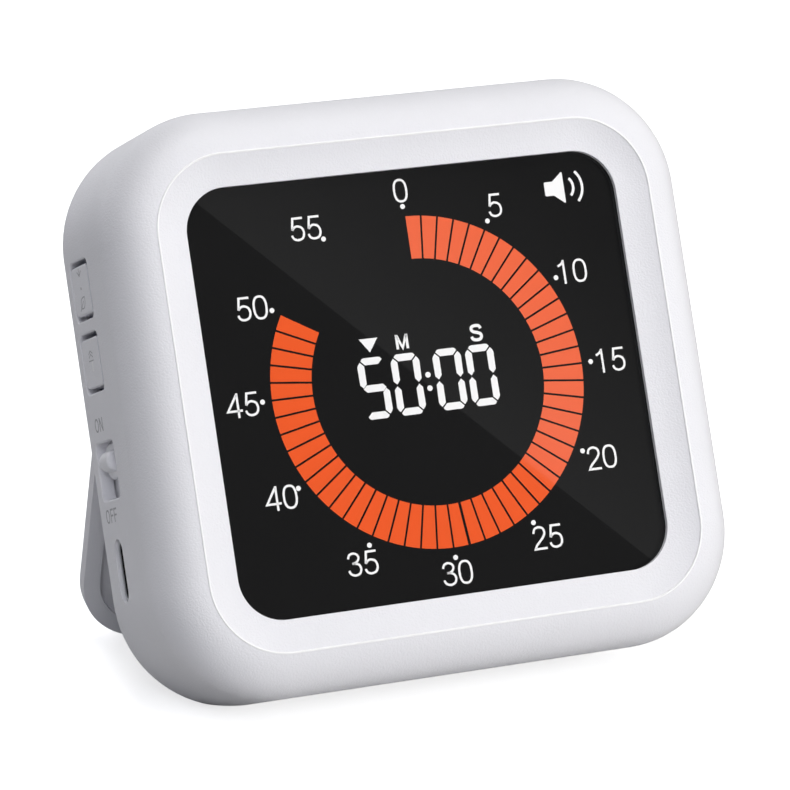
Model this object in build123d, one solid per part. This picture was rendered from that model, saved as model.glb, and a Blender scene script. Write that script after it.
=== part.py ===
from build123d import *
import os
from math import cos, sin, radians

# Visual countdown timer: a rounded housing that leans back on a kickstand flap.
#
# Every piece is drawn in the device frame, upright: X to the viewer's right, Y from the lens to
# the back, Z up, with the origin on the lens surface at the centre of the dial. At the end the
# whole device is tilted back by LEAN and stood on the table. Lengths are in millimetres.

# ---------------------------------------------------------------- driving dimensions
LEAN = 23.0             # lean of the body, degrees from upright
STAND_OPEN = 41.2       # opening of the kickstand from its folded place, degrees

BODY_W = 91.0           # outside width
BODY_H = 86.1           # outside height before the resting flat is cut
BODY_UP = 0.37          # centre of the body above the centre of the dial
BODY_R = 17.6           # corner radius seen from the front
FRONT_Y = -2.5          # front plane of the housing block, ahead of its rounding
REAR_Y = 26.8           # flat rear face
FRONT_ROUND = 8.2       # rounding from the sides to the front
REAR_ROUND = 4.9        # rounding from the sides to the back
PARTING_Y = 24.2        # where the front housing ends and the rear cover begins
LIP_LENGTH = 1.8        # reach of the rear cover's lip into the housing
RESTING_FLAT = -47.1    # height of the table below the dial centre, measured upright
WALL = 2.0              # side wall of the housing

OPENING_W, OPENING_H, OPENING_R = 67.9, 63.0, 6.6   # screen opening
OPENING_Y = -0.9        # its edge, ahead of the lens
DISH_R = 16.0           # the surround is dished, along an arc of this radius
DISH_TILT = 8.0         # slope of that arc at the edge of the opening, degrees
DISH_UP = -0.20         # centre of the dish above the centre of the dial

LENS_W, LENS_H, LENS_R = 70.4, 65.4, 8.0
LENS_T = 1.5
TAPE_T = 0.15           # adhesive tape between lens and housing
SEAT_GAP = 0.2          # room round the lens in its seat

BOARD_Y = 13.3          # front face of the main board
BOARD_T = 1.6
BOARD_REAR = BOARD_Y + BOARD_T

SIDE_X = -BODY_W / 2    # left side wall, which holds the controls
CONTROL_Y = 16.15       # depth of the buttons and the switch
BUTTON_W, BUTTON_H, BUTTON_R = 8.5, 8.75, 1.1       # openings for the buttons
DOWN_BUTTON_Z = 20.65
UP_BUTTON_Z = 9.95
SWITCH_W, SWITCH_H, SWITCH_R = 8.6, 8.5, 1.0        # window of the slide switch
SWITCH_Z = -6.0         # its middle
SWITCH_TRAVEL = 2.6     # the knob rests at the upper end, on
RIM_CHAMFER = 0.2       # round the openings for the buttons and the switch
USB_Y, USB_Z = 16.5, -20.8
USB_SLOT_D, USB_SLOT_L = 3.65, 9.45                 # slot in the wall for the USB-C inlet
USB_SHELL_D, USB_SHELL_L = 3.16, 8.94               # its metal shell
USB_SHELL_IN = 0.5      # mouth of the shell behind the face of the wall
USB_SHELL_DEEP = 7.9    # depth of the shell
USB_SHEET = 0.3         # thickness of its sheet metal

FLAP_W = 85.6           # kickstand flap
FLAP_T = 3.0
FLAP_R = 12.0           # its lower corners
FLAP_ROUND = 1.2        # rounding of its outer edges
FLAP_RIM = 2.6          # rim round the shallow tray in its inner face
FLAP_END_Z = -39.6      # lower end when folded
KNUCKLE_W = 79.0        # width of its upper end, which turns between two shoulders of the cover
SHOULDER = 4.0          # how far below the hinge the narrow part ends
HINGE_Z = 3.9
HINGE_Y = REAR_Y - FLAP_T / 2
HINGE_PIN_R = 0.75
PIN_NEAR, PIN_FAR = 36.0, 42.2                      # ends of the hinge pins from the middle
FLAP_GAP = 0.35

COVER_SCREW_X = 35.0
COVER_SCREW_DZ = 33.4   # from the centre of the body
COVER_SCREW_R = 1.1     # shank
COVER_HEAD_R = 2.3
COVER_HEAD_IN = 1.9     # depth of the recess for a head
BOSS_R = 3.2            # bosses for the cover screws
BOARD_SCREW_X = 39.0
BOARD_SCREW_DZ = 28.4
BOARD_SCREW_R = 0.8
POST_R = 2.5            # posts for the main board


# ---------------------------------------------------------------- helpers
def slab(width, height, corner, y_front, y_rear, x=0.0, z=0.0):
    """Rounded rectangle seen from the front, running from y_front back to y_rear."""
    face = Plane.XZ.offset(-y_front) * Pos(x, z) * RectangleRounded(width, height, corner)
    return extrude(face, amount=-(y_rear - y_front))


def block(x0, x1, y0, y1, z0, z1):
    """Plain block between two corners."""
    return Pos((x0 + x1) / 2, (y0 + y1) / 2, (z0 + z1) / 2) * Box(x1 - x0, y1 - y0, z1 - z0)


def rod(radius, y0, y1, x, z):
    """Round bar along the depth."""
    return Pos(x, (y0 + y1) / 2, z) * Rot(90, 0, 0) * Cylinder(radius, y1 - y0)


def cross_rod(radius, x0, x1, y, z):
    """Round bar along the width."""
    return Pos((x0 + x1) / 2, y, z) * Rot(0, 90, 0) * Cylinder(radius, x1 - x0)


def side_prism(depth, height, corner, x0, x1, y, z):
    """Rounded rectangle seen from the left side, running from x0 to x1."""
    face = Plane.YZ.offset(x0) * Pos(y, z) * RectangleRounded(depth, height, corner)
    return extrude(face, amount=x1 - x0)


def above_table(inset=0.0):
    """Everything above the table, as a block turned into the upright device frame."""
    size = 400.0
    return Rot(LEAN, 0, 0) * Pos(0, 0, RESTING_FLAT + inset + size / 2) * Box(size, size, size)


def body_form(inset, y_front, y_rear):
    """The outer form of the body, or the same form drawn in by inset."""
    form = slab(BODY_W - 2 * inset, BODY_H - 2 * inset, BODY_R - inset, y_front, y_rear, z=BODY_UP)
    form = fillet(form.edges().group_by(Axis.Y)[0], FRONT_ROUND - inset)
    form = fillet(form.edges().group_by(Axis.Y)[-1], REAR_ROUND - inset * 0.5)
    return form & above_table(inset)


def layer(solid, y0, y1):
    """The part of a solid between two depths."""
    return solid & block(-80, 80, y0, y1, -80, 80)


def corners(x, dz):
    return [(sx * x, BODY_UP + sz * dz) for sz in (1, -1) for sx in (-1, 1)]


def one(shape):
    """A single solid out of an operation's result."""
    return shape.solids().sort_by(SortBy.VOLUME)[-1]


COVER_SCREWS = corners(COVER_SCREW_X, COVER_SCREW_DZ)
BOARD_SCREWS = corners(BOARD_SCREW_X, BOARD_SCREW_DZ)
CAVITY_Y = 1.6          # inner face of the screen surround
COVER_IN_Y = REAR_Y - 2.0
POCKET_Y = HINGE_Y - 1.9         # floor of the kickstand pocket
POCKET_TOP = HINGE_Z + FLAP_T / 2 + 0.5
TRAY_T = 1.6                     # thickness of that floor


def flap_pocket():
    """The space in the back that the folded kickstand fills, open at the bottom."""
    half = FLAP_W / 2 + FLAP_GAP
    knuckle_half = KNUCKLE_W / 2 + FLAP_GAP
    lower = block(-half, half, POCKET_Y, REAR_Y + 5, -60, HINGE_Z - SHOULDER + 0.6)
    return lower + block(-knuckle_half, knuckle_half, POCKET_Y, REAR_Y + 5, -60, POCKET_TOP)


def cover_boss_end(z):
    """The lower screws stand in the shallow floor of the kickstand pocket."""
    return 20.4 if z < 0 else 22.4


def cover_seat(z):
    """The face that the head of a cover screw is let into."""
    return POCKET_Y if z < 0 else REAR_Y


# ---------------------------------------------------------------- housing and cover
def dish():
    """All that the dish round the screen takes away: four straight runs and four turned corners."""
    tilt = radians(DISH_TILT)
    circle = Pos(-DISH_R * sin(tilt), DISH_R * cos(tilt)) * Circle(DISH_R)
    section = circle & Pos(3.0, 2.0) * Rectangle(8.0, 6.0)
    wide, tall = OPENING_W / 2 - OPENING_R, OPENING_H / 2 - OPENING_R
    cut = []
    for turn, half, run in ((0, OPENING_W / 2, tall), (90, OPENING_H / 2, wide),
                            (180, OPENING_W / 2, tall), (270, OPENING_H / 2, wide)):
        start = Plane(origin=(half, OPENING_Y, run), x_dir=(1, 0, 0), z_dir=(0, 0, -1))
        cut.append(Rot(0, turn, 0) * extrude(start * section, amount=2 * run))
    radial = Plane(origin=(0, OPENING_Y, 0), x_dir=(1, 0, 0), z_dir=(0, 0, -1)) * Pos(OPENING_R, 0)
    corner = revolve(radial * section, Axis.Y)
    for x, z, seam in ((wide, tall, 135), (-wide, tall, 45), (-wide, -tall, 315), (wide, -tall, 225)):
        cut.append(Pos(x, 0, z) * Rot(0, seam, 0) * corner)
    return [Pos(0, 0, DISH_UP) * piece for piece in cut]


def front_housing():
    shell = layer(body_form(0, FRONT_Y, REAR_Y), -20, PARTING_Y)
    shell -= body_form(WALL, CAVITY_Y, REAR_Y + 10)
    shell -= layer(body_form(WALL - 0.6, CAVITY_Y, REAR_Y + 10), PARTING_Y - LIP_LENGTH - 0.1, 40)

    # bosses for the cover screws and posts for the main board
    for x, z in COVER_SCREWS:
        shell += rod(BOSS_R, CAVITY_Y - 1, cover_boss_end(z), x, z)
    for x, z in BOARD_SCREWS:
        shell += rod(POST_R, CAVITY_Y - 1, BOARD_Y, x, z)
    for x, z in COVER_SCREWS:
        shell -= rod(COVER_SCREW_R + 0.05, cover_boss_end(z) - 9, 30, x, z)
    for x, z in BOARD_SCREWS:
        shell -= rod(BOARD_SCREW_R + 0.05, BOARD_Y - 6, 30, x, z)

    # dished surround, screen opening and the seat of the lens
    shell -= dish()
    shell -= slab(OPENING_W, OPENING_H, OPENING_R, FRONT_Y - 1, CAVITY_Y + 1)
    shell -= slab(LENS_W + 2 * SEAT_GAP, LENS_H + 2 * SEAT_GAP, LENS_R + SEAT_GAP, -TAPE_T, CAVITY_Y + 1)

    # openings for the controls in the left wall
    out, inside = SIDE_X - 1, SIDE_X + 5
    for z in (DOWN_BUTTON_Z, UP_BUTTON_Z):
        shell -= side_prism(BUTTON_W, BUTTON_H, BUTTON_R, out, inside, CONTROL_Y, z)
    shell -= side_prism(SWITCH_W, SWITCH_H, SWITCH_R, out, inside, CONTROL_Y, SWITCH_Z)
    shell -= side_prism(USB_SLOT_D, USB_SLOT_L, USB_SLOT_D / 2 - 0.01, out, inside, USB_Y, USB_Z)

    rims = [edge for edge in shell.edges()
            if abs(edge.center().X - SIDE_X) < 0.01 and edge.length < BUTTON_H
            and abs(edge.center().Y - CONTROL_Y) < BUTTON_W / 2 + 0.1
            and edge.center().Z > SWITCH_Z - SWITCH_H]
    shell = chamfer(rims, RIM_CHAMFER)

    # rails that guide the shutter plate of the slide switch
    for edge in (-1, 1):
        rail_y = CONTROL_Y + edge * (PLATE_W / 2 + 0.37)
        shell += block(SIDE_X + WALL - 0.2, PLATE_X + 1.2, rail_y - 0.27, rail_y + 0.27,
                       SWITCH_Z - 8, SWITCH_Z + 8)
    shell -= flap_pocket()
    return one(shell)


def rear_cover():
    shell = layer(body_form(0, FRONT_Y, REAR_Y), PARTING_Y, 40)
    shell -= body_form(WALL, CAVITY_Y, COVER_IN_Y)

    # lip that fits in the rebate of the housing, and the floor of the kickstand pocket
    lip = body_form(WALL - 0.45, CAVITY_Y, REAR_Y + 10) - body_form(WALL + 0.8, CAVITY_Y, REAR_Y + 10)
    shell += layer(lip, PARTING_Y - LIP_LENGTH, PARTING_Y + 0.4)
    inner = body_form(WALL + 0.15, CAVITY_Y, REAR_Y + 10)
    shell += inner & block(-60, 60, POCKET_Y - TRAY_T, COVER_IN_Y + 0.2, -60, POCKET_TOP + TRAY_T)
    outer = body_form(0, FRONT_Y, REAR_Y)
    for x, z in COVER_SCREWS:
        boss = rod(BOSS_R, cover_boss_end(z) + 0.05, cover_seat(z), x, z)
        shell += boss & outer
    shell -= flap_pocket()
    for x, z in COVER_SCREWS:
        shell -= rod(COVER_SCREW_R + 0.35, 10, 40, x, z)
        shell -= rod(COVER_HEAD_R + 0.3, cover_seat(z) - COVER_HEAD_IN, 40, x, z)
    for side in (-1, 1):
        near = side * (KNUCKLE_W / 2 - 1)
        far = side * PIN_FAR
        shell -= cross_rod(HINGE_PIN_R, min(near, far), max(near, far), HINGE_Y, HINGE_Z)

    # sound holes over the buzzer
    for x, z in [(0, 0)] + [(3.2 * cos(radians(a)), 3.2 * sin(radians(a))) for a in range(0, 360, 60)]:
        shell -= rod(0.75, 20, 40, BUZZER_X + x, BUZZER_Z + z)
    return one(shell)


def cover_screws():
    screws = []
    for x, z in COVER_SCREWS:
        seat = cover_seat(z) - COVER_HEAD_IN
        head = rod(COVER_HEAD_R, seat, seat + 1.5, x, z)
        head = fillet(head.edges().group_by(Axis.Y)[-1], 0.6)
        for turn in (0, 90):
            head -= Pos(x, seat + 1.3, z) * Rot(0, turn, 0) * Box(2.6, 1.2, 0.6)
        screws.append(head + rod(COVER_SCREW_R, cover_boss_end(z) - 7, seat + 0.1, x, z))
    return screws


# ---------------------------------------------------------------- screen
def lens_window():
    lens = slab(LENS_W, LENS_H, LENS_R, 0, LENS_T)
    return chamfer(lens.edges().group_by(Axis.Y)[-1], 0.2)


def ring(width, height, corner, wall, y0, y1):
    return slab(width, height, corner, y0, y1) - slab(width - 2 * wall, height - 2 * wall,
                                                      max(corner - wall, 0.5), y0 - 1, y1 + 1)


LCD_Y = LENS_T + 0.6
LCD_W, LCD_H, LCD_R, LCD_T = 66.4, 61.6, 6.4, 1.8
DIFFUSER_Y = LCD_Y + LCD_T
GUIDE_Y = DIFFUSER_Y + 0.3
GUIDE_T = 3.0
REFLECTOR_Y = GUIDE_Y + GUIDE_T
SHELF_Y = REFLECTOR_Y + 0.2
GUIDE_LOW, GUIDE_HIGH = -28.4, 29.0


def light_sheet(y0, y1):
    sheet = slab(LCD_W - 0.4, LCD_H - 0.4, LCD_R, y0, y1)
    return sheet & block(-60, 60, y0, y1, GUIDE_LOW, GUIDE_HIGH)


def display_frame():
    frame = ring(LENS_W, LENS_H, LENS_R, 1.8, LCD_Y, BOARD_Y)
    shelf = slab(LENS_W - 2, LENS_H - 2, LENS_R - 1, SHELF_Y, SHELF_Y + 1.4)
    shelf -= slab(58, 52, 3, SHELF_Y - 1, SHELF_Y + 3)
    frame += shelf & block(-60, 60, 0, 20, -60, GUIDE_HIGH - 0.6)
    return one(frame)


def backlight_board():
    return block(-28, 28, GUIDE_Y + 0.1, GUIDE_Y + 2.9, -30.6, -29.9)


def backlight_leds():
    return [block(x - 1.5, x + 1.5, GUIDE_Y + 0.4, GUIDE_Y + 2.6, -29.9, -28.5)
            for x in (-22.5, -13.5, -4.5, 4.5, 13.5, 22.5)]


def display_pins():
    return [block(x - 0.2, x + 0.2, DIFFUSER_Y, BOARD_Y, 29.7, 30.0)
            for x in [2.0 * i for i in range(-11, 12)]]


# ---------------------------------------------------------------- board and electronics
BUZZER_X, BUZZER_Z = 20.0, 22.0


def main_board():
    board = slab(82.6, 77.0, 13.0, BOARD_Y, BOARD_REAR, z=BODY_UP)
    for x, z in COVER_SCREWS:
        board -= rod(3.6, 0, 30, x, z)
    for x, z in BOARD_SCREWS:
        board -= rod(1.15, 0, 30, x, z)
    return one(board)


def board_screws():
    return [rod(1.9, BOARD_REAR, BOARD_REAR + 1.3, x, z)
            + rod(BOARD_SCREW_R, BOARD_Y - 5, BOARD_REAR + 0.1, x, z) for x, z in BOARD_SCREWS]


def on_board(x, z, width, height, tall):
    """A component on the rear face of the board."""
    return block(x - width / 2, x + width / 2, BOARD_REAR, BOARD_REAR + tall, z - height / 2, z + height / 2)


def controller_chip():
    return chamfer(on_board(6, -14, 10, 10, 1.4).edges().group_by(Axis.Y)[-1], 0.2)


def charger_chip():
    return on_board(-29, -22, 5, 4, 1.5)


def small_chip_parts():
    spots = [(-4, -6), (-4, -10), (-4, -14), (16, -8), (16, -12), (16, -16), (-29, -28), (-26, -28),
             (-20, 8), (-16, 8), (0, 12), (4, 12)]
    return [on_board(x, z, 1.6, 0.9, 0.8) for x, z in spots]


def quartz_crystal():
    return slab(8.0, 3.4, 1.6, BOARD_REAR, BOARD_REAR + 3.4, x=6, z=2)


def buzzer():
    can = rod(6.0, BOARD_REAR, BOARD_REAR + 6.6, BUZZER_X, BUZZER_Z)
    return can - rod(1.0, BOARD_REAR + 5, 30, BUZZER_X, BUZZER_Z)


CELL_Y, CELL_REAR = 16.6, 21.4


def battery_cell():
    cell = block(-24, 26, CELL_Y, CELL_REAR, -34.0, -2.0)
    return fillet(cell.edges().filter_by(Axis.Z), 2.2)


def battery_pad():
    return block(-18, 20, CELL_REAR, POCKET_Y - TRAY_T, -30.0, -6.0)


def battery_socket():
    socket = on_board(-16, 22, 7.5, 5.0, 4.5)
    return socket - block(-18.9, -13.1, BOARD_REAR + 1.0, BOARD_REAR + 3.8, 21.0, 30)


USB_MOUTH_X = SIDE_X + USB_SHELL_IN
USB_BACK_X = USB_MOUTH_X + USB_SHELL_DEEP - 2 * USB_SHEET


def usb_c_shell():
    outer = side_prism(USB_SHELL_D, USB_SHELL_L, USB_SHELL_D / 2 - 0.01,
                       USB_MOUTH_X, USB_MOUTH_X + USB_SHELL_DEEP, USB_Y, USB_Z)
    depth, length = USB_SHELL_D - 2 * USB_SHEET, USB_SHELL_L - 2 * USB_SHEET
    return outer - side_prism(depth, length, depth / 2 - 0.01, SIDE_X, USB_BACK_X, USB_Y, USB_Z)


def usb_c_tongue():
    return side_prism(0.7, 6.7, 0.3, USB_MOUTH_X + 0.6, USB_BACK_X, USB_Y, USB_Z)


# ---------------------------------------------------------------- buttons
CAP_GAP_SIDE, CAP_GAP_END = 0.3, 0.75
FLANGE_X = SIDE_X + WALL + 0.1
TACT_X = -40.9


def button_cap(z):
    """Cap with a soft-edged face, a flange that keeps it in, and a stem to the switch behind."""
    cap = side_prism(BUTTON_W - 2 * CAP_GAP_SIDE, BUTTON_H - 2 * CAP_GAP_END, BUTTON_R - 0.3,
                     SIDE_X, FLANGE_X + 0.2, CONTROL_Y, z)
    cap = fillet(cap.edges().group_by(Axis.X)[0], 0.35)
    cap += side_prism(BUTTON_W + 1.0, BUTTON_H + 1.0, BUTTON_R, FLANGE_X, FLANGE_X + 0.8, CONTROL_Y, z)
    stem = side_prism(2.0, 3.4, 0.4, FLANGE_X + 0.7, TACT_X - 0.7, CONTROL_Y, z)
    return cap + stem


def tact_cases():
    cases = []
    for z in (DOWN_BUTTON_Z, UP_BUTTON_Z):
        case = block(TACT_X, TACT_X + 3.6, BOARD_REAR, BOARD_REAR + 2.7, z - 3.1, z + 3.1)
        cases.append(case - block(TACT_X - 1, TACT_X + 1.3, CONTROL_Y - 0.65, CONTROL_Y + 0.65,
                                  z - 1.55, z + 1.55))
    return cases


def tact_plunger(z):
    return side_prism(1.1, 2.9, 0.3, TACT_X - 0.7, TACT_X + 0.7, CONTROL_Y, z)


# ---------------------------------------------------------------- slide switch
KNOB_Z = SWITCH_Z + SWITCH_TRAVEL / 2
KNOB_R, KNOB_LENGTH, KNOB_PROUD = 1.55, 4.1, 0.6
PLATE_X = SIDE_X + WALL + 0.3
PLATE_W = SWITCH_W + 1.2
SWITCH_CASE_X = -40.6


def switch_knob():
    """Grip bar on a rounded pad, on the shutter plate that closes the window from inside."""
    tip_x, foot_x = SIDE_X - KNOB_PROUD + KNOB_R, SIDE_X + 1.5
    foot = KNOB_R + 0.1 * (foot_x - tip_x)
    section = Pos(tip_x, KNOB_Z) * Circle(KNOB_R)
    section += Polygon((tip_x, KNOB_Z + KNOB_R), (tip_x, KNOB_Z - KNOB_R), (foot_x, KNOB_Z - foot),
                       (foot_x, KNOB_Z + foot), align=None)
    bar = extrude(Plane.XZ.offset(-(CONTROL_Y - KNOB_LENGTH / 2)) * section, amount=-KNOB_LENGTH)
    bar = fillet(bar.edges().group_by(Axis.Y)[0], 0.45)
    bar = fillet(bar.edges().group_by(Axis.Y)[-1], 0.5)
    pad = side_prism(7.0, 5.3, 2.2, SIDE_X + 1.0, PLATE_X + 0.1, CONTROL_Y, KNOB_Z)
    pad = fillet(pad.edges().group_by(Axis.X)[0], 0.5)
    plate = side_prism(PLATE_W, SWITCH_H + SWITCH_TRAVEL + 1.4, 1.0, PLATE_X, PLATE_X + 0.8,
                       CONTROL_Y, KNOB_Z)
    knob = bar + pad + plate
    for side in (-1, 1):
        low = KNOB_Z + side * 1.25 - 0.4
        knob += block(PLATE_X + 0.7, SWITCH_CASE_X - 0.35, CONTROL_Y - 1.0, CONTROL_Y + 1.0,
                      low, low + 0.8)
    return one(knob)


def switch_case():
    case = block(SWITCH_CASE_X, SWITCH_CASE_X + 3.8, BOARD_REAR, BOARD_REAR + 3.0,
                 SWITCH_Z - 4.4, SWITCH_Z + 4.4)
    slot = SWITCH_TRAVEL / 2 + 1.0
    return case - block(SWITCH_CASE_X - 1, SWITCH_CASE_X + 2.4, CONTROL_Y - 0.85, CONTROL_Y + 0.85,
                        SWITCH_Z - slot, SWITCH_Z + slot)


def switch_lever():
    return block(PLATE_X + 0.9, SWITCH_CASE_X + 2.0, CONTROL_Y - 0.7, CONTROL_Y + 0.7,
                 KNOB_Z - 0.8, KNOB_Z + 0.8)


# ---------------------------------------------------------------- kickstand
def swing(shape, degrees):
    """Turn a piece about the hinge line of the kickstand."""
    return Pos(0, HINGE_Y, HINGE_Z) * Rot(degrees, 0, 0) * Pos(0, -HINGE_Y, -HINGE_Z) * shape


def kickstand():
    """Flap drawn folded: it fills its pocket and carries on the rounding of the back."""
    half, knuckle_half = FLAP_W / 2, KNUCKLE_W / 2
    front = REAR_Y - FLAP_T
    plate = slab(FLAP_W, 2 * (HINGE_Z - FLAP_END_Z), FLAP_R, front, REAR_Y, z=HINGE_Z)
    plate = fillet(plate.edges().group_by(Axis.Y)[-1], FLAP_ROUND)
    plate &= block(-half, half, front, REAR_Y, FLAP_END_Z, HINGE_Z)
    for side in (-1, 1):
        near, far = side * knuckle_half, side * (half + 1)
        plate -= block(min(near, far), max(near, far), front - 1, REAR_Y + 1, HINGE_Z - SHOULDER, HINGE_Z + 1)
    knuckle = cross_rod(FLAP_T / 2, -knuckle_half, knuckle_half, HINGE_Y, HINGE_Z)

    # heel above the hinge: its flat meets the pocket floor when the flap is fully open
    opening = radians(STAND_OPEN)
    spread = radians(20)
    reach = HINGE_Y - POCKET_Y - 0.08
    peak = reach / cos(spread)
    corner = (-peak * cos(opening + spread), peak * sin(opening + spread))
    meets = (-FLAP_T / 2, (reach - FLAP_T / 2 * cos(opening)) / sin(opening))
    heel = Polygon((0, 0), corner, meets, (-FLAP_T / 2, 0), align=None)
    heel = extrude(Plane.YZ.offset(-knuckle_half) * Pos(HINGE_Y, HINGE_Z) * heel, amount=KNUCKLE_W)
    flap = (plate + knuckle + heel) & body_form(0, FRONT_Y, REAR_Y)

    # shallow tray in the inner face, leaving a rim all round
    tray_top, tray_rear = HINGE_Z - 6.0, front + 1.2
    tray = slab(FLAP_W - 2 * FLAP_RIM, 2 * (tray_top - FLAP_END_Z - FLAP_RIM), FLAP_R - FLAP_RIM,
                front - 1, tray_rear, z=tray_top)
    flap -= tray & block(-half, half, front - 1, tray_rear, FLAP_END_Z, tray_top)
    for side in (-1, 1):
        near, far = side * (PIN_NEAR - 0.5), side * (half + 1)
        flap -= cross_rod(HINGE_PIN_R + 0.05, min(near, far), max(near, far), HINGE_Y, HINGE_Z)
    opened = swing(one(flap), STAND_OPEN) & above_table()
    return one(opened)


def hinge_pins():
    return [cross_rod(HINGE_PIN_R, PIN_NEAR, PIN_FAR, HINGE_Y, HINGE_Z),
            cross_rod(HINGE_PIN_R, -PIN_FAR, -PIN_NEAR, HINGE_Y, HINGE_Z)]


# ---------------------------------------------------------------- assembly
PIECES = {
    "front_housing": front_housing(),
    "rear_cover": rear_cover(),
    "cover_screws": cover_screws(),
    "lens_tape": ring(LENS_W, LENS_H, LENS_R, 1.0, -TAPE_T, 0),
    "lens_window": lens_window(),
    "dust_gasket": ring(LENS_W - 0.4, LENS_H - 0.4, LENS_R - 0.2, 2.2, LENS_T, LCD_Y),
    "lcd_panel": slab(LCD_W, LCD_H, LCD_R, LCD_Y, DIFFUSER_Y),
    "diffuser_sheet": light_sheet(DIFFUSER_Y, GUIDE_Y),
    "light_guide": light_sheet(GUIDE_Y, REFLECTOR_Y),
    "reflector_sheet": light_sheet(REFLECTOR_Y, SHELF_Y),
    "backlight_board": backlight_board(),
    "backlight_leds": backlight_leds(),
    "display_frame": display_frame(),
    "display_pins": display_pins(),
    "main_board": main_board(),
    "board_screws": board_screws(),
    "controller_chip": controller_chip(),
    "charger_chip": charger_chip(),
    "small_chip_parts": small_chip_parts(),
    "quartz_crystal": quartz_crystal(),
    "buzzer": buzzer(),
    "battery_cell": battery_cell(),
    "battery_pad": battery_pad(),
    "battery_socket": battery_socket(),
    "usb_c_shell": usb_c_shell(),
    "usb_c_tongue": usb_c_tongue(),
    "tact_cases": tact_cases(),
    "down_button": button_cap(DOWN_BUTTON_Z),
    "down_plunger": tact_plunger(DOWN_BUTTON_Z),
    "up_button": button_cap(UP_BUTTON_Z),
    "up_plunger": tact_plunger(UP_BUTTON_Z),
    "switch_case": switch_case(),
    "switch_knob": switch_knob(),
    "switch_lever": switch_lever(),
    "kickstand": kickstand(),
    "hinge_pins": hinge_pins(),
}


def solids_of(piece):
    parts = piece if isinstance(piece, list) else [piece]
    return [solid for part in parts for solid in part.solids()]


def lean_back(solid):
    return Rot(-LEAN, 0, 0) * solid


leaning = {name: [lean_back(s) for s in solids_of(piece)] for name, piece in PIECES.items()}
box = Compound([s for solids in leaning.values() for s in solids]).bounding_box()
to_table = Pos(-(box.min.X + box.max.X) / 2, -(box.min.Y + box.max.Y) / 2, -box.min.Z)

os.makedirs("parts", exist_ok=True)
for name, solids in leaning.items():
    placed = [to_table * s for s in solids]
    export_step(placed[0] if len(placed) == 1 else Compound(placed), f"parts/{name}.step")
print("moved by", to_table.position)
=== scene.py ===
import math

import bmesh
import bpy
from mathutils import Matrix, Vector


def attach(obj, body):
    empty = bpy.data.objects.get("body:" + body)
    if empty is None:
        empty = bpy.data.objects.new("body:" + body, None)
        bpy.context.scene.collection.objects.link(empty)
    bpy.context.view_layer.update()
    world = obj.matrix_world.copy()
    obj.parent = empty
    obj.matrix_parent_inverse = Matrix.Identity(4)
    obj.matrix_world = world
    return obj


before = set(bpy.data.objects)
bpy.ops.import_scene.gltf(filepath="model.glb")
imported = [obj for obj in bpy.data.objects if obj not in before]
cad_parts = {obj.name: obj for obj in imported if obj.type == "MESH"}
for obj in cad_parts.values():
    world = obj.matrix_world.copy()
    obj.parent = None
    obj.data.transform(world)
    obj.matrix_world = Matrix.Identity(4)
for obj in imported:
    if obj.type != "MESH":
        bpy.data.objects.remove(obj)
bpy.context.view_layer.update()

# ---------------------------------------------------------------- the device's own directions
MM = 0.001
LEAN = math.radians(23.0)
DIAL_CENTRE = Vector((0.3, -11.842, 47.1)) * MM     # on the front of the lens
RIGHT = Vector((1, 0, 0))
UP = Vector((0, math.sin(LEAN), math.cos(LEAN)))
OUT = Vector((0, -math.cos(LEAN), math.sin(LEAN)))
DIAL_UNIT = 26.0                                    # mm, from the centre to the ring of dots
SIDE = 45.5                                         # mm, from the centre to the left side
SIDE_WALL = -0.0452                                 # m, x of the left side's flat wall


def on_lens(u, v, lift):
    """A point on the lens, in mm right, up and out from the centre of the dial."""
    return DIAL_CENTRE + (RIGHT * u + UP * v + OUT * lift) * MM


def on_side(a, v, lift):
    """A point on the left side, in mm: a towards the front, v up, lift out of the side."""
    return DIAL_CENTRE + (OUT * a + UP * v - RIGHT * (SIDE + lift)) * MM


def on_dial(u, v, lift):
    """A point on the lens, with u and v in units of the dial."""
    return on_lens(u * DIAL_UNIT, v * DIAL_UNIT, lift)


# ---------------------------------------------------------------- camera, solved from the round dial
IMAGE_WIDTH = 790.0                                 # pixels
FOCAL_LENGTH = 4331.2                               # pixels
SENSOR = 36.0                                       # mm
CAMERA_TILT, CAMERA_TURN = 17.637, 22.363           # degrees: down from level, and round to the left side
camera = bpy.data.objects.new("camera", bpy.data.cameras.new("camera"))
bpy.context.scene.collection.objects.link(camera)
camera.location = Vector((-234.07, -568.457, 237.04)) * MM
camera.rotation_euler = (math.radians(90 - CAMERA_TILT), 0, math.radians(-CAMERA_TURN))
camera.data.sensor_width = SENSOR
camera.data.lens = SENSOR * FOCAL_LENGTH / IMAGE_WIDTH
camera.data.clip_start = 0.01
bpy.context.scene.camera = camera


# ---------------------------------------------------------------- materials
def new_material(name):
    """A material, its node tree and shader, and the coordinates of the points that it covers."""
    material = bpy.data.materials.new(name)
    material.use_nodes = True
    tree = material.node_tree
    shader = tree.nodes["Principled BSDF"]
    place = tree.nodes.new("ShaderNodeTexCoord")
    return material, tree, shader, place.outputs["Object"]


def noise(tree, where, scale, detail):
    node = tree.nodes.new("ShaderNodeTexNoise")
    node.inputs["Scale"].default_value = scale
    node.inputs["Detail"].default_value = detail
    tree.links.new(where, node.inputs["Vector"])
    return node.outputs["Fac"]


def spread(tree, value, low, high, start=0.3, end=0.7):
    """A value from start to end, turned into one from low to high and held there beyond."""
    node = tree.nodes.new("ShaderNodeMapRange")
    node.inputs["From Min"].default_value = start
    node.inputs["From Max"].default_value = end
    node.inputs["To Min"].default_value = low
    node.inputs["To Max"].default_value = high
    tree.links.new(value, node.inputs["Value"])
    return node.outputs["Result"]


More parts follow.
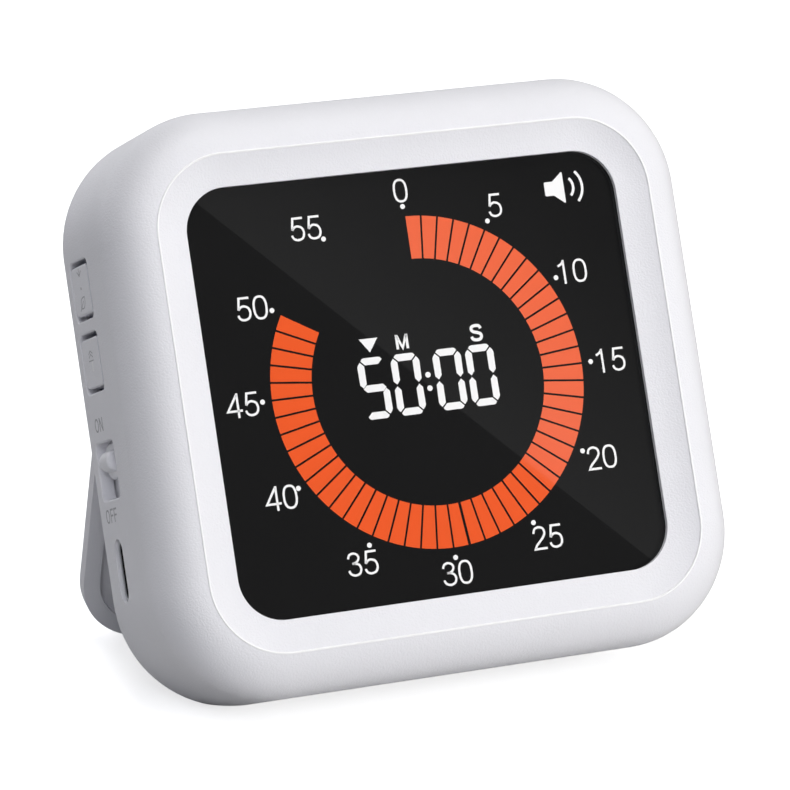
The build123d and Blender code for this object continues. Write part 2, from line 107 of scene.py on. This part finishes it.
def two_tone(tree, value, dark, light):
    node = tree.nodes.new("ShaderNodeMix")
    node.data_type = "RGBA"
    node.inputs["A"].default_value = (*dark, 1)
    node.inputs["B"].default_value = (*light, 1)
    tree.links.new(value, node.inputs["Factor"])
    return node.outputs["Result"]


def dot_product(tree, vector, direction):
    node = tree.nodes.new("ShaderNodeVectorMath")
    node.operation = "DOT_PRODUCT"
    node.inputs[1].default_value = direction
    tree.links.new(vector, node.inputs[0])
    return node.outputs["Value"]


def combine(tree, operation, a, b):
    """A sum, product or comparison; b is a socket or a number."""
    node = tree.nodes.new("ShaderNodeMath")
    node.operation = operation
    tree.links.new(a, node.inputs[0])
    if isinstance(b, float):
        node.inputs[1].default_value = b
    else:
        tree.links.new(b, node.inputs[1])
    return node.outputs["Value"]


def grain(tree, shader, height, distance):
    node = tree.nodes.new("ShaderNodeBump")
    node.inputs["Distance"].default_value = distance
    tree.links.new(height, node.inputs["Height"])
    tree.links.new(node.outputs["Normal"], shader.inputs["Normal"])


def finish(name, color, rough, tone=0.03, fine=2600.0, bump=0.000012, broad=90.0, **sockets):
    """Moulded or coated surface: slow tone changes, a fine grain in the gloss and the height."""
    material, tree, shader, place = new_material(name)
    slow = noise(tree, place, broad, 3.0)
    quick = noise(tree, place, fine, 2.0)
    dark = [max(c * (1 - tone), 0) for c in color]
    light = [min(c * (1 + tone), 1) for c in color]
    tree.links.new(two_tone(tree, slow, dark, light), shader.inputs["Base Color"])
    tree.links.new(spread(tree, quick, rough * 0.92, rough * 1.1), shader.inputs["Roughness"])
    if bump:
        grain(tree, shader, quick, bump)
    for socket, value in sockets.items():
        shader.inputs[socket.replace("_", " ")].default_value = value
    return material


def paint_light_along(material, direction, level, start, end, color, spared=None):
    """Lets a finish turn to another colour along a direction, from start to end past a level, in m.

    Faces that look the spared way keep their colour."""
    # painted light: used for painted shade in the buttons' gaps and the socket's inlet, and for a painted
    # reflection on the minute ring
    tree = material.node_tree
    base = tree.nodes["Principled BSDF"].inputs["Base Color"]
    place = tree.nodes["Texture Coordinate"].outputs
    share = spread(tree, dot_product(tree, place["Object"], direction), 0.0, 1.0, level + start, level + end)
    if spared is not None:
        facing = dot_product(tree, place["Normal"], spared)
        share = combine(tree, "MULTIPLY", share, spread(tree, facing, 1.0, 0.0, 0.2, 0.7))
    turn = tree.nodes.new("ShaderNodeMix")
    turn.data_type = "RGBA"
    tree.links.new(share, turn.inputs["Factor"])
    tree.links.new(base.links[0].from_socket, turn.inputs["A"])
    turn.inputs["B"].default_value = (*color, 1)
    tree.links.new(turn.outputs["Result"], base)


WHITE = (0.80, 0.80, 0.835)
white_plastic = finish("white_plastic", WHITE, 0.42, tone=0.014, fine=3500.0, bump=0.00006)
button_plastic = finish("button_plastic", WHITE, 0.40, tone=0.014, fine=3500.0, bump=0.00004)
# painted shade: the buttons' sides turn dark navy inside their gaps, where the housing shades them; faces that
# look down keep their white
paint_light_along(button_plastic, RIGHT, SIDE_WALL, 0.00003, 0.0003, (0.12, 0.13, 0.20), -UP)
# painted highlight: paler than the housing's plastic, so that the rounded ridge around the screen shows a
# bright line
painted_highlight_plastic = finish("painted_highlight_plastic", (0.95, 0.95, 0.96), 0.3, tone=0.01, bump=0)
smoked_lens = finish("smoked_lens", (0.0095, 0.0095, 0.0097), 0.006, tone=0.08, fine=700.0, bump=0)
lit_orange = finish("lit_orange", (0.955, 0.109, 0.015), 0.35, tone=0.02, fine=3000.0, bump=0,
                    Coat_Weight=1.0, Coat_Roughness=0.015, Coat_IOR=2.3)
# painted reflection: the ring is paler towards the upper right, where the lens reflects a screen of light
ACROSS_LENS = RIGHT * 0.693 + UP * 0.721
paint_light_along(lit_orange, ACROSS_LENS, DIAL_CENTRE.dot(ACROSS_LENS), -0.003, 0.006, (0.94, 0.137, 0.042))
lit_white = finish("lit_white", (0.92, 0.92, 0.92), 0.35, tone=0.01, fine=3000.0, bump=0,
                   Coat_Weight=1.0, Coat_Roughness=0.015)
print_white = finish("print_white", (0.90, 0.90, 0.90), 0.4, tone=0.02, fine=3000.0, bump=0.000004)
print_grey = finish("print_grey", (0.42, 0.42, 0.44), 0.55, tone=0.06, fine=3000.0, bump=0.000006)
steel = finish("steel", (0.55, 0.56, 0.58), 0.3, tone=0.05, fine=1800.0, bump=0.000004, Metallic=1.0)
tin = finish("tin", (0.62, 0.62, 0.63), 0.32, tone=0.05, fine=1500.0, bump=0.000004, Metallic=1.0)
socket_metal = finish("socket_metal", (0.66, 0.67, 0.70), 0.42, tone=0.04, fine=1500.0, bump=0.000004,
                      Metallic=0.45)
# painted shade: the socket's metal turns near black past the inlet's mouth, where the inlet lies in shadow
paint_light_along(socket_metal, RIGHT, SIDE_WALL, 0.0006, 0.00075, (0.012, 0.012, 0.014))
epoxy = finish("epoxy", (0.02, 0.02, 0.022), 0.5, tone=0.2, fine=2000.0)
nylon = finish("nylon", (0.05, 0.05, 0.055), 0.5, tone=0.1)
foam = finish("foam", (0.015, 0.015, 0.015), 0.9, tone=0.3, fine=3000.0, bump=0.00004)
film = finish("film", (0.85, 0.87, 0.9), 0.4, tone=0.01)
circuit = finish("circuit", (0.02, 0.16, 0.06), 0.35, tone=0.15)
cell_foil = finish("cell_foil", (0.6, 0.62, 0.65), 0.35, tone=0.04, fine=900.0, bump=0.00001, Metallic=1.0)
resin = finish("resin", (0.9, 0.82, 0.5), 0.3, tone=0.03)
dark_glass = finish("dark_glass", (0.08, 0.09, 0.09), 0.12, tone=0.05, bump=0)

FINISHES = {
    white_plastic: ["front_housing", "rear_cover", "kickstand", "switch_knob"],
    button_plastic: ["down_button", "up_button"],
    smoked_lens: ["lens_window"],
    foam: ["lens_tape", "dust_gasket", "battery_pad"],
    dark_glass: ["lcd_panel"],
    film: ["diffuser_sheet", "light_guide", "reflector_sheet", "display_frame", "battery_socket"],
    circuit: ["main_board", "backlight_board"],
    resin: ["backlight_leds"],
    tin: ["display_pins", "quartz_crystal", "switch_case"],
    socket_metal: ["usb_c_shell"],
    steel: ["cover_screws", "board_screws", "hinge_pins"],
    epoxy: ["controller_chip", "charger_chip", "small_chip_parts", "buzzer", "usb_c_tongue", "tact_cases"],
    cell_foil: ["battery_cell"],
    nylon: ["down_plunger", "up_plunger", "switch_lever"],
}
for material, names in FINISHES.items():
    for name in names:
        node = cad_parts[name]
        if not node.data.materials:
            node.data.materials.append(material)
        for index in range(len(node.data.materials)):
            node.data.materials[index] = material


def make_piece(mesh, name, material, body):
    """Turns a bmesh into a named piece that rides on a body."""
    bmesh.ops.recalc_face_normals(mesh, faces=mesh.faces)
    data = bpy.data.meshes.new(name)
    mesh.to_mesh(data)
    mesh.free()
    data.materials.append(material)
    piece = bpy.data.objects.new(name, data)
    bpy.context.scene.collection.objects.link(piece)
    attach(piece, body)
    return piece


# ---------------------------------------------------------------- flat artwork
class Artwork:
    """Thin printed or lit shapes, drawn in 2-D and laid on a surface of the device."""

    def __init__(self, place, low, high):
        """The place turns drawing coordinates and a lift in mm into a point; low and high are lifts."""
        self.place, self.low, self.high = place, low, high
        self.mesh = bmesh.new()

    def ring_of(self, points, lift):
        return [self.mesh.verts.new(self.place(x, y, lift)) for x, y in points]

    def shape(self, points):
        """A filled outline, given counter-clockwise."""
        low, high = self.ring_of(points, self.low), self.ring_of(points, self.high)
        self.mesh.faces.new(high)
        self.mesh.faces.new(low[::-1])
        for i in range(len(points)):
            j = (i + 1) % len(points)
            self.mesh.faces.new((low[i], low[j], high[j], high[i]))

    def stroke(self, points, width, closed=False):
        """A pen stroke of even width along a path."""
        left, right = [], []
        count = len(points)
        for i, p in enumerate(points):
            before = points[i - 1] if closed or i else p
            after = points[(i + 1) % count] if closed or i < count - 1 else p
            d0 = Vector((p[0] - before[0], p[1] - before[1])) if before != p else None
            d1 = Vector((after[0] - p[0], after[1] - p[1])) if after != p else None
            d0, d1 = (d0 or d1).normalized(), (d1 or d0).normalized()
            mid = (d0 + d1).normalized()
            reach = width / 2 / max(mid.dot(d0), 0.5)
            left.append((p[0] - mid.y * reach, p[1] + mid.x * reach))
            right.append((p[0] + mid.y * reach, p[1] - mid.x * reach))
        rows = [self.ring_of(line, lift) for line, lift in
                ((left, self.high), (right, self.high), (right, self.low), (left, self.low))]
        for i in range(count if closed else count - 1):
            j = (i + 1) % count
            for k in range(4):
                a, b = rows[k], rows[(k + 1) % 4]
                self.mesh.faces.new((a[i], b[i], b[j], a[j]))
        if not closed:
            self.mesh.faces.new([row[0] for row in rows][::-1])
            self.mesh.faces.new([row[-1] for row in rows])

    def disc(self, x, y, radius, steps=28):
        self.shape([(x + radius * math.cos(a), y + radius * math.sin(a))
                    for a in (2 * math.pi * i / steps for i in range(steps))])

    def write(self, text, x, y, height, pen, pitch, stretch=1.0):
        """Text in the stroke alphabet, its ink centred on x and y."""
        starts, at = [], 0.0
        for letter in text:
            starts.append(at)
            at += pitch * GLYPHS[letter][0]
        ink = (starts[-1] + GLYPHS[text[-1]][0]) * height * stretch
        for letter, start in zip(text, starts):
            for path, closed in GLYPHS[letter][1]:
                self.stroke([(x - ink / 2 + (start + px) * height * stretch, y + (py - 0.5) * height)
                             for px, py in path], pen, closed)

    def done(self, name, material, body):
        make_piece(self.mesh, name, material, body)


def smooth(points, steps=6):
    """A soft line through the points."""
    out = []
    last = len(points) - 1
    for i in range(last):
        p0, p1, p2, p3 = (points[max(i - 1, 0)], points[i], points[i + 1], points[min(i + 2, last)])
        for k in range(steps):
            t = k / steps
            out.append(tuple(0.5 * (2 * b + (c - a) * t + (2 * a - 5 * b + 4 * c - d) * t ** 2
                                    + (3 * b - a - 3 * c + d) * t ** 3)
                             for a, b, c, d in zip(p0, p1, p2, p3)))
    return out + [points[-1]]


def oval(x, y, rx, ry, power=2.5, steps=36):
    """A loop between an ellipse and a rectangle."""
    out = []
    for i in range(steps):
        a = 2 * math.pi * i / steps
        c, s = math.cos(a), math.sin(a)
        out.append((x + rx * math.copysign(abs(c) ** (2 / power), c),
                    y + ry * math.copysign(abs(s) ** (2 / power), s)))
    return out


def arc(x, y, radius, start, end, steps=14):
    """Part of a circle, from start to end in degrees."""
    return [(x + radius * math.cos(math.radians(start + (end - start) * i / steps)),
             y + radius * math.sin(math.radians(start + (end - start) * i / steps))) for i in range(steps + 1)]


# width and pen paths of each sign, for a height of 1
GLYPHS = {
    "0": (0.65, [(oval(0.325, 0.5, 0.267, 0.445), True)]),
    "1": (0.65, [([(0.335, 0.0), (0.335, 1.0)], False),
                 (smooth([(0.335, 0.95), (0.24, 0.84), (0.08, 0.755)]), False)]),
    "2": (0.65, [(smooth([(0.085, 0.70), (0.15, 0.88), (0.33, 0.945), (0.51, 0.88), (0.57, 0.72),
                          (0.52, 0.57), (0.36, 0.39), (0.18, 0.22), (0.085, 0.056)])
                  + [(0.62, 0.056)], False)]),
    "3": (0.65, [(smooth([(0.085, 0.745), (0.16, 0.895), (0.32, 0.945), (0.48, 0.885), (0.54, 0.75),
                          (0.47, 0.61), (0.35, 0.55), (0.24, 0.54)]), False),
                 (smooth([(0.24, 0.54), (0.38, 0.535), (0.54, 0.45), (0.592, 0.29), (0.52, 0.12),
                          (0.33, 0.055), (0.15, 0.12), (0.065, 0.27)]), False)]),
    "4": (0.70, [([(0.52, 0.0), (0.52, 1.0)], False),
                 ([(0.50, 0.94), (0.075, 0.285), (0.70, 0.285)], False)]),
    "5": (0.65, [([(0.60, 0.945), (0.175, 0.945), (0.105, 0.47)], False),
                 (smooth([(0.105, 0.47), (0.20, 0.575), (0.335, 0.615), (0.52, 0.54), (0.592, 0.335),
                          (0.52, 0.13), (0.32, 0.055), (0.14, 0.115), (0.065, 0.26)]), False)]),
    "M": (0.90, [([(0.09, 0.0), (0.09, 1.0)], False), ([(0.81, 0.0), (0.81, 1.0)], False),
                 ([(0.10, 0.97), (0.45, 0.08), (0.80, 0.97)], False)]),
    "S": (0.80, [(smooth([(0.70, 0.72), (0.62, 0.87), (0.40, 0.91), (0.18, 0.85), (0.13, 0.70),
                          (0.24, 0.575), (0.45, 0.51), (0.65, 0.42), (0.70, 0.27), (0.61, 0.13),
                          (0.40, 0.09), (0.18, 0.14), (0.09, 0.30)]), False)]),
    "O": (0.86, [(oval(0.43, 0.5, 0.36, 0.435, 2.2), True)]),
    "N": (0.78, [([(0.07, 0.0), (0.07, 1.0)], False), ([(0.71, 0.0), (0.71, 1.0)], False),
                 ([(0.08, 0.97), (0.70, 0.03)], False)]),
    "F": (0.66, [([(0.07, 0.0), (0.07, 1.0)], False), ([(0.07, 0.94), (0.66, 0.94)], False),
                 ([(0.07, 0.51), (0.60, 0.51)], False)]),
}


SUNK, RAISED = -0.06, 0.02      # mm: printed shapes start inside the surface that carries them

# the ring of minutes left: fifty lit segments of six degrees, with thin dark lines between them
MINUTES_LEFT = 50
RING_IN, RING_OUT = 0.700, 0.943
LINE, WIDE_LINE, WIDE_AT = 0.0117, 0.0165, 29       # one line is wider, where two halves of the ring meet
RING_TURN = 0.12                                    # degrees
ring = Artwork(on_dial, SUNK, RAISED)
for minute in range(MINUTES_LEFT):
    start, end = math.radians(6 * minute + RING_TURN), math.radians(6 * minute + 6 + RING_TURN)
    points = []
    for radius, order in ((RING_OUT, (0, 1, 2, 3)), (RING_IN, (3, 2, 1, 0))):
        first = start + (LINE if minute != WIDE_AT else WIDE_LINE) / 2 / radius
        last = end - (LINE if minute != WIDE_AT - 1 else WIDE_LINE) / 2 / radius
        points += [(radius * math.sin(first + (last - first) * k / 3),
                    radius * math.cos(first + (last - first) * k / 3)) for k in order]
    ring.shape(points[::-1])
ring.done("minute_ring", lit_orange, "body")

# minute dots and numbers
DOT_RADIUS = 0.0144
dots = Artwork(on_dial, SUNK, RAISED)
for angle in range(0, 360, 30):
    dots.disc(math.sin(math.radians(angle)), math.cos(math.radians(angle)), DOT_RADIUS)
dots.done("minute_dots", print_white, "body")

NUMBERS = {"0": (0, 1.091), "5": (0.557, 0.951), "10": (0.970, 0.527), "15": (1.122, -0.004),
           "20": (0.978, -0.550), "25": (0.572, -0.957), "30": (-0.0025, -1.087), "35": (-0.556, -0.961),
           "40": (-0.974, -0.540), "45": (-1.120, -0.003), "50": (-0.981, 0.525), "55": (-0.597, 0.936)}
NUMBER_HEIGHT, NUMBER_PEN, NUMBER_PITCH = 0.138, 0.0128, 1.10
numbers = Artwork(on_dial, SUNK, RAISED)
for text, (u, v) in NUMBERS.items():
    numbers.write(text, u, v, NUMBER_HEIGHT, NUMBER_PEN, NUMBER_PITCH)
numbers.done("minute_numbers", print_white, "body")

# the time left in four seven-part digits, each drawn from the middle of its left side
DIGIT_W, HALF = 0.1745, 0.174                       # width, and half the height
UPPER = [(0.0, HALF - 0.049), (0.006, HALF - 0.036), (0.018, HALF - 0.0225), (0.0415, HALF - 0.0455),
         (0.0415, 0.0285), (0.0215, 0.005), (0.002, 0.0245)]
TOP = [(0.043, HALF), (0.033, HALF - 0.003), (0.0235, HALF - 0.0155), (0.048, HALF - 0.0405),
       (DIGIT_W - 0.048, HALF - 0.0405), (DIGIT_W - 0.0235, HALF - 0.0155), (DIGIT_W - 0.033, HALF - 0.003),
       (DIGIT_W - 0.043, HALF)]
MIDDLE = [(0.0195, 0.0), (0.040, 0.0204), (0.137, 0.0204), (0.156, 0.0), (0.137, -0.0204), (0.040, -0.0204)]


def across(points):
    return [(DIGIT_W - x, y) for x, y in points]


def below(points):
    return [(x, -y) for x, y in points]


ZERO = [TOP, below(TOP), UPPER, below(UPPER), across(UPPER), across(below(UPPER))]
FIVE = [TOP, below(TOP), UPPER, MIDDLE, across(below(UPPER))]
digits = Artwork(on_dial, SUNK, RAISED)
for left, parts in ((-0.4143, FIVE), (-0.2133, ZERO), (0.0408, ZERO), (0.2408, ZERO)):
    for part in parts:
        digits.shape([(left + x, y) for x, y in part])
for height in (0.0388, -0.0378):
    digits.disc(0, height, 0.0163)
digits.write("M", -0.126, 0.2418, 0.082, 0.0155, 1.0, 1.03)
digits.write("S", 0.3277, 0.242, 0.100, 0.0178, 1.0, 0.99)
digits.shape([(-0.3816, 0.2816), (-0.3255, 0.2031), (-0.2694, 0.2816)])
digits.done("lit_digits", lit_white, "body")

# sound symbol
speaker = Artwork(on_dial, SUNK, RAISED)
speaker.shape([(0.879, 0.975), (0.885, 0.969), (0.932, 0.969), (0.994, 0.921), (1.0, 0.925), (1.0, 1.096),
               (0.994, 1.100), (0.932, 1.050), (0.885, 1.050), (0.879, 1.044)])
speaker.stroke(arc(0.988, 1.0095, 0.070, -45, 45), 0.0155)
speaker.stroke(arc(0.992, 1.0095, 0.122, -45, 45), 0.0155)
speaker.done("sound_symbol", print_white, "body")

# ---------------------------------------------------------------- the ridge around the screen: a rounded bead whose paler plastic paints the ridge's highlight
RIDGE_HEIGHT = 2.2          # mm in front of the lens: every point of the ridge is further out
RIDGE_BEND = 0.1            # radians between the faces that meet there
RIDGE_FACING = 0.5          # least share of each face's direction that points out of the screen
BEAD_RADIUS = 0.17          # mm
BEAD_SUNK = 0.45            # share of its radius
BEAD_SIDES = 8


def height_of(point):
    return (point - DIAL_CENTRE).dot(OUT) / MM


def on_ridge(edge):
    if len(edge.link_faces) != 2 or any(height_of(v.co) <= RIDGE_HEIGHT for v in edge.verts):
        return False
    normals = [face.normal for face in edge.link_faces]
    return normals[0].angle(normals[1], 0) > RIDGE_BEND and min(n.dot(OUT) for n in normals) > RIDGE_FACING


def ridge_line():
    """The points along the sharp ridge of the housing's dished surround, once round."""
    housing = bmesh.new()
    housing.from_mesh(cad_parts["front_housing"].data)
    bmesh.ops.remove_doubles(housing, verts=housing.verts, dist=1e-7)
    beside = {}
    for edge in housing.edges:
        if on_ridge(edge):
            for here, there in (edge.verts, reversed(edge.verts)):
                beside.setdefault(here, []).append(there)
    start = next(iter(beside))
    loop = [start, beside[start][0]]
    while True:
        step = [v for v in beside[loop[-1]] if v not in loop]
        if not step:
            break
        loop.append(step[0])
    line = [v.co.copy() for v in loop]
    housing.free()
    return line


line = ridge_line()
bead = bmesh.new()
rings = []
for i, point in enumerate(line):
    run = (line[(i + 1) % len(line)] - line[i - 1]).normalized()
    aside = run.cross(OUT).normalized()
    out = aside.cross(run).normalized()
    middle = point - out * BEAD_RADIUS * BEAD_SUNK * MM
    rings.append([bead.verts.new(middle + (aside * math.cos(a) + out * math.sin(a)) * BEAD_RADIUS * MM)
                  for a in (2 * math.pi * k / BEAD_SIDES for k in range(BEAD_SIDES))])
for i in range(len(rings)):
    a, b = rings[i], rings[(i + 1) % len(rings)]
    for k in range(BEAD_SIDES):
        j = (k + 1) % BEAD_SIDES
        bead.faces.new((a[k], a[j], b[j], b[k]))
make_piece(bead, "screen_edge", painted_highlight_plastic, "body").data.shade_smooth()

# ---------------------------------------------------------------- signs on the left side
PRINT_SUNK, PRINT_RAISED = -0.05, 0.010             # mm
words = Artwork(on_side, PRINT_SUNK, 0.012)
for text, a, v in (("ON", -17.15, 0.84), ("OFF", -17.40, -12.54)):
    words.write(text, a, v, 2.05, 0.27, 1.25)
words.done("switch_words", print_grey, "body")

# arrow to the dot, and a leaf, on the upper button
BUTTON_A = -16.15                                   # mm, a of the buttons' middle
DOT_V, LEAF_V = 20.93, 18.8
down_signs = Artwork(on_side, PRINT_SUNK, PRINT_RAISED)
down_signs.stroke([(BUTTON_A - 0.95, 23.50), (BUTTON_A - 0.05, 22.78), (BUTTON_A + 0.95, 23.50)], 0.20)
down_signs.stroke([(BUTTON_A - 0.05, 22.78), (BUTTON_A - 0.05, 23.95)], 0.17)
down_signs.disc(BUTTON_A, DOT_V, 0.22, 16)
LEAF = smooth([(-1.05, -0.72), (-0.98, 0.0), (-0.55, 0.56), (0.15, 0.78), (1.05, 0.82)], 5)
LEAF += smooth([(1.05, 0.82), (1.0, 0.05), (0.62, -0.52), (0.0, -0.80), (-1.05, -0.72)], 5)[1:-1]
VEIN = ((-1.55, -1.05), (-0.9, -0.60), (0.35, 0.28))
down_signs.stroke([(BUTTON_A + x, LEAF_V + y) for x, y in LEAF], 0.17, True)
down_signs.stroke([(BUTTON_A + x, LEAF_V + y) for x, y in VEIN], 0.15)
down_signs.done("down_button_signs", print_grey, "down_button")

# two chevrons over a line, and a pale bar, on the lower button
up_signs = Artwork(on_side, PRINT_SUNK, PRINT_RAISED)
for lift in (0.0, 0.52):
    up_signs.stroke([(BUTTON_A - 1.0, 10.72 + lift), (BUTTON_A - 0.05, 11.2 + lift),
                     (BUTTON_A + 0.9, 10.72 + lift)], 0.17)
up_signs.stroke([(BUTTON_A - 1.2, 10.25), (BUTTON_A + 1.05, 10.25)], 0.17)
up_signs.done("up_button_signs", print_grey, "up_button")
up_bar = Artwork(on_side, PRINT_SUNK, PRINT_RAISED)
up_bar.stroke([(BUTTON_A + 0.25, 10.15), (BUTTON_A + 0.20, 8.65)], 0.30)
up_bar.done("up_button_bar", print_white, "up_button")

# ---------------------------------------------------------------- floor, background and light
scene = bpy.context.scene
scene.view_settings.view_transform = "Standard"

REACH = 4.0                 # m, from the device to each side of the floor
FLOOR_TONE = 0.52           # of the light that the floor gives back to the device
FLOOR_GLOW = 0.615          # added where the camera looks, so that the plain floor is white
FAR_GLOW = 1.2              # the same where little light falls
NEAR, FAR = 0.25, 1.0       # m, where the glow starts to rise and where it ends
floor_data = bpy.data.meshes.new("floor")
corners = [(-REACH, -REACH, 0), (REACH, -REACH, 0), (REACH, REACH, 0), (-REACH, REACH, 0)]
floor_data.from_pydata(corners, [], [(0, 1, 2, 3)])
floor = bpy.data.objects.new("floor", floor_data)
scene.collection.objects.link(floor)
material, tree, shader, place = new_material("floor")
shader.inputs["Roughness"].default_value = 0.9
shader.inputs["Specular IOR Level"].default_value = 0.0
shader.inputs["Emission Color"].default_value = (1, 1, 1, 1)
seen = tree.nodes.new("ShaderNodeLightPath").outputs["Is Camera Ray"]
tree.links.new(two_tone(tree, seen, (FLOOR_TONE,) * 3, (1, 1, 1)), shader.inputs["Base Color"])
distance = tree.nodes.new("ShaderNodeVectorMath")
distance.operation = "LENGTH"
tree.links.new(place, distance.inputs[0])
glow = spread(tree, distance.outputs["Value"], FLOOR_GLOW, FAR_GLOW, NEAR, FAR)
tree.links.new(combine(tree, "MULTIPLY", seen, glow), shader.inputs["Emission Strength"])
floor_data.materials.append(material)

WORLD_LIGHT = 0.05          # all round, on the device
world = bpy.data.worlds.new("world")
scene.world = world
world.use_nodes = True
tree = world.node_tree
background = tree.nodes["Background"]
background.inputs["Color"].default_value = (1, 1, 1, 1)
path = tree.nodes.new("ShaderNodeLightPath")
toward = tree.nodes.new("ShaderNodeTexCoord").outputs["Generated"]


def world_mix(factor, a, b):
    """Level a where the factor is 0 and b where it is 1; each is a socket or a number."""
    node = tree.nodes.new("ShaderNodeMix")
    node.data_type = "FLOAT"
    tree.links.new(factor, node.inputs["Factor"])
    for socket, value in (("A", a), ("B", b)):
        if isinstance(value, float):
            node.inputs[socket].default_value = value
        else:
            tree.links.new(value, node.inputs[socket])
    return node.outputs["Result"]


# the studio that glossy surfaces show: dark in front of the screen, pale elsewhere, and one tall
# screen of light whose near edge is sharp and which fades away from it
EDGE_ENDS = (-1.21, 1.14), (1.18, -1.16)            # where the sharp edge shows, in units of the dial
FADED_AT = (0.914, 1.04)                            # where the light has faded
SCREEN_LIGHT = 0.22                                 # at its sharp edge
PALE, DARK = 0.75, 0.06
eye = camera.location - DIAL_CENTRE
eye = DIAL_CENTRE + eye - 2 * eye.dot(OUT) * OUT    # the camera, mirrored in the lens
edge_a, edge_b, faded = ((on_dial(u, v, 0) - eye) for u, v in (*EDGE_ENDS, FADED_AT))
edge, faded = edge_a.cross(edge_b).normalized(), faded.normalized()
if edge.dot(faded) < 0:
    edge = -edge
past = dot_product(tree, toward, edge)
fade = spread(tree, past, SCREEN_LIGHT, 0.0, 0.0, edge.dot(faded))
fade = combine(tree, "MULTIPLY", fade, combine(tree, "GREATER_THAN", past, 0.0))
around = spread(tree, dot_product(tree, toward, OUT), PALE, DARK, -0.1, 0.75)
level = world_mix(path.outputs["Is Glossy Ray"], WORLD_LIGHT, combine(tree, "ADD", fade, around))
level = world_mix(path.outputs["Is Camera Ray"], level, 1.0)
tree.links.new(level, background.inputs["Strength"])

LAMP_AIM = Vector((0, 0, 0.045))                    # m
LAMP_DISTANCE, LAMP_SIZE = 1.0, 0.52                # m
COOL, WARM = (0.92, 0.935, 1.0), (1.0, 0.988, 0.965)
LAMPS = [       # name, degrees to the device's right from its front, degrees up, watts, colour
    ("right_low", 40, 8, 8.2, WARM),
    ("top", 0, 88, 4.5, WARM),
    ("front_left", -25, 35, 3.1, COOL),
    ("back_left", -150, 8, 1.9, COOL),
    ("back", 180, 35, 1.3, COOL),
    ("back_low", 175, 10, 2.0, COOL),
]
for name, azimuth, elevation, power, tint in LAMPS:
    data = bpy.data.lights.new(name, "AREA")
    data.shape = "RECTANGLE"
    data.size = data.size_y = LAMP_SIZE
    data.energy = power
    data.color = tint
    lamp = bpy.data.objects.new(name, data)
    a, e = math.radians(azimuth), math.radians(elevation)
    toward_lamp = Vector((math.sin(a) * math.cos(e), -math.cos(a) * math.cos(e), math.sin(e)))
    lamp.location = LAMP_AIM + toward_lamp * LAMP_DISTANCE
    lamp.rotation_euler = (-toward_lamp).to_track_quat("-Z", "Y").to_euler()
    lamp.visible_glossy = False                     # the world alone gives the reflections
    scene.collection.objects.link(lamp)
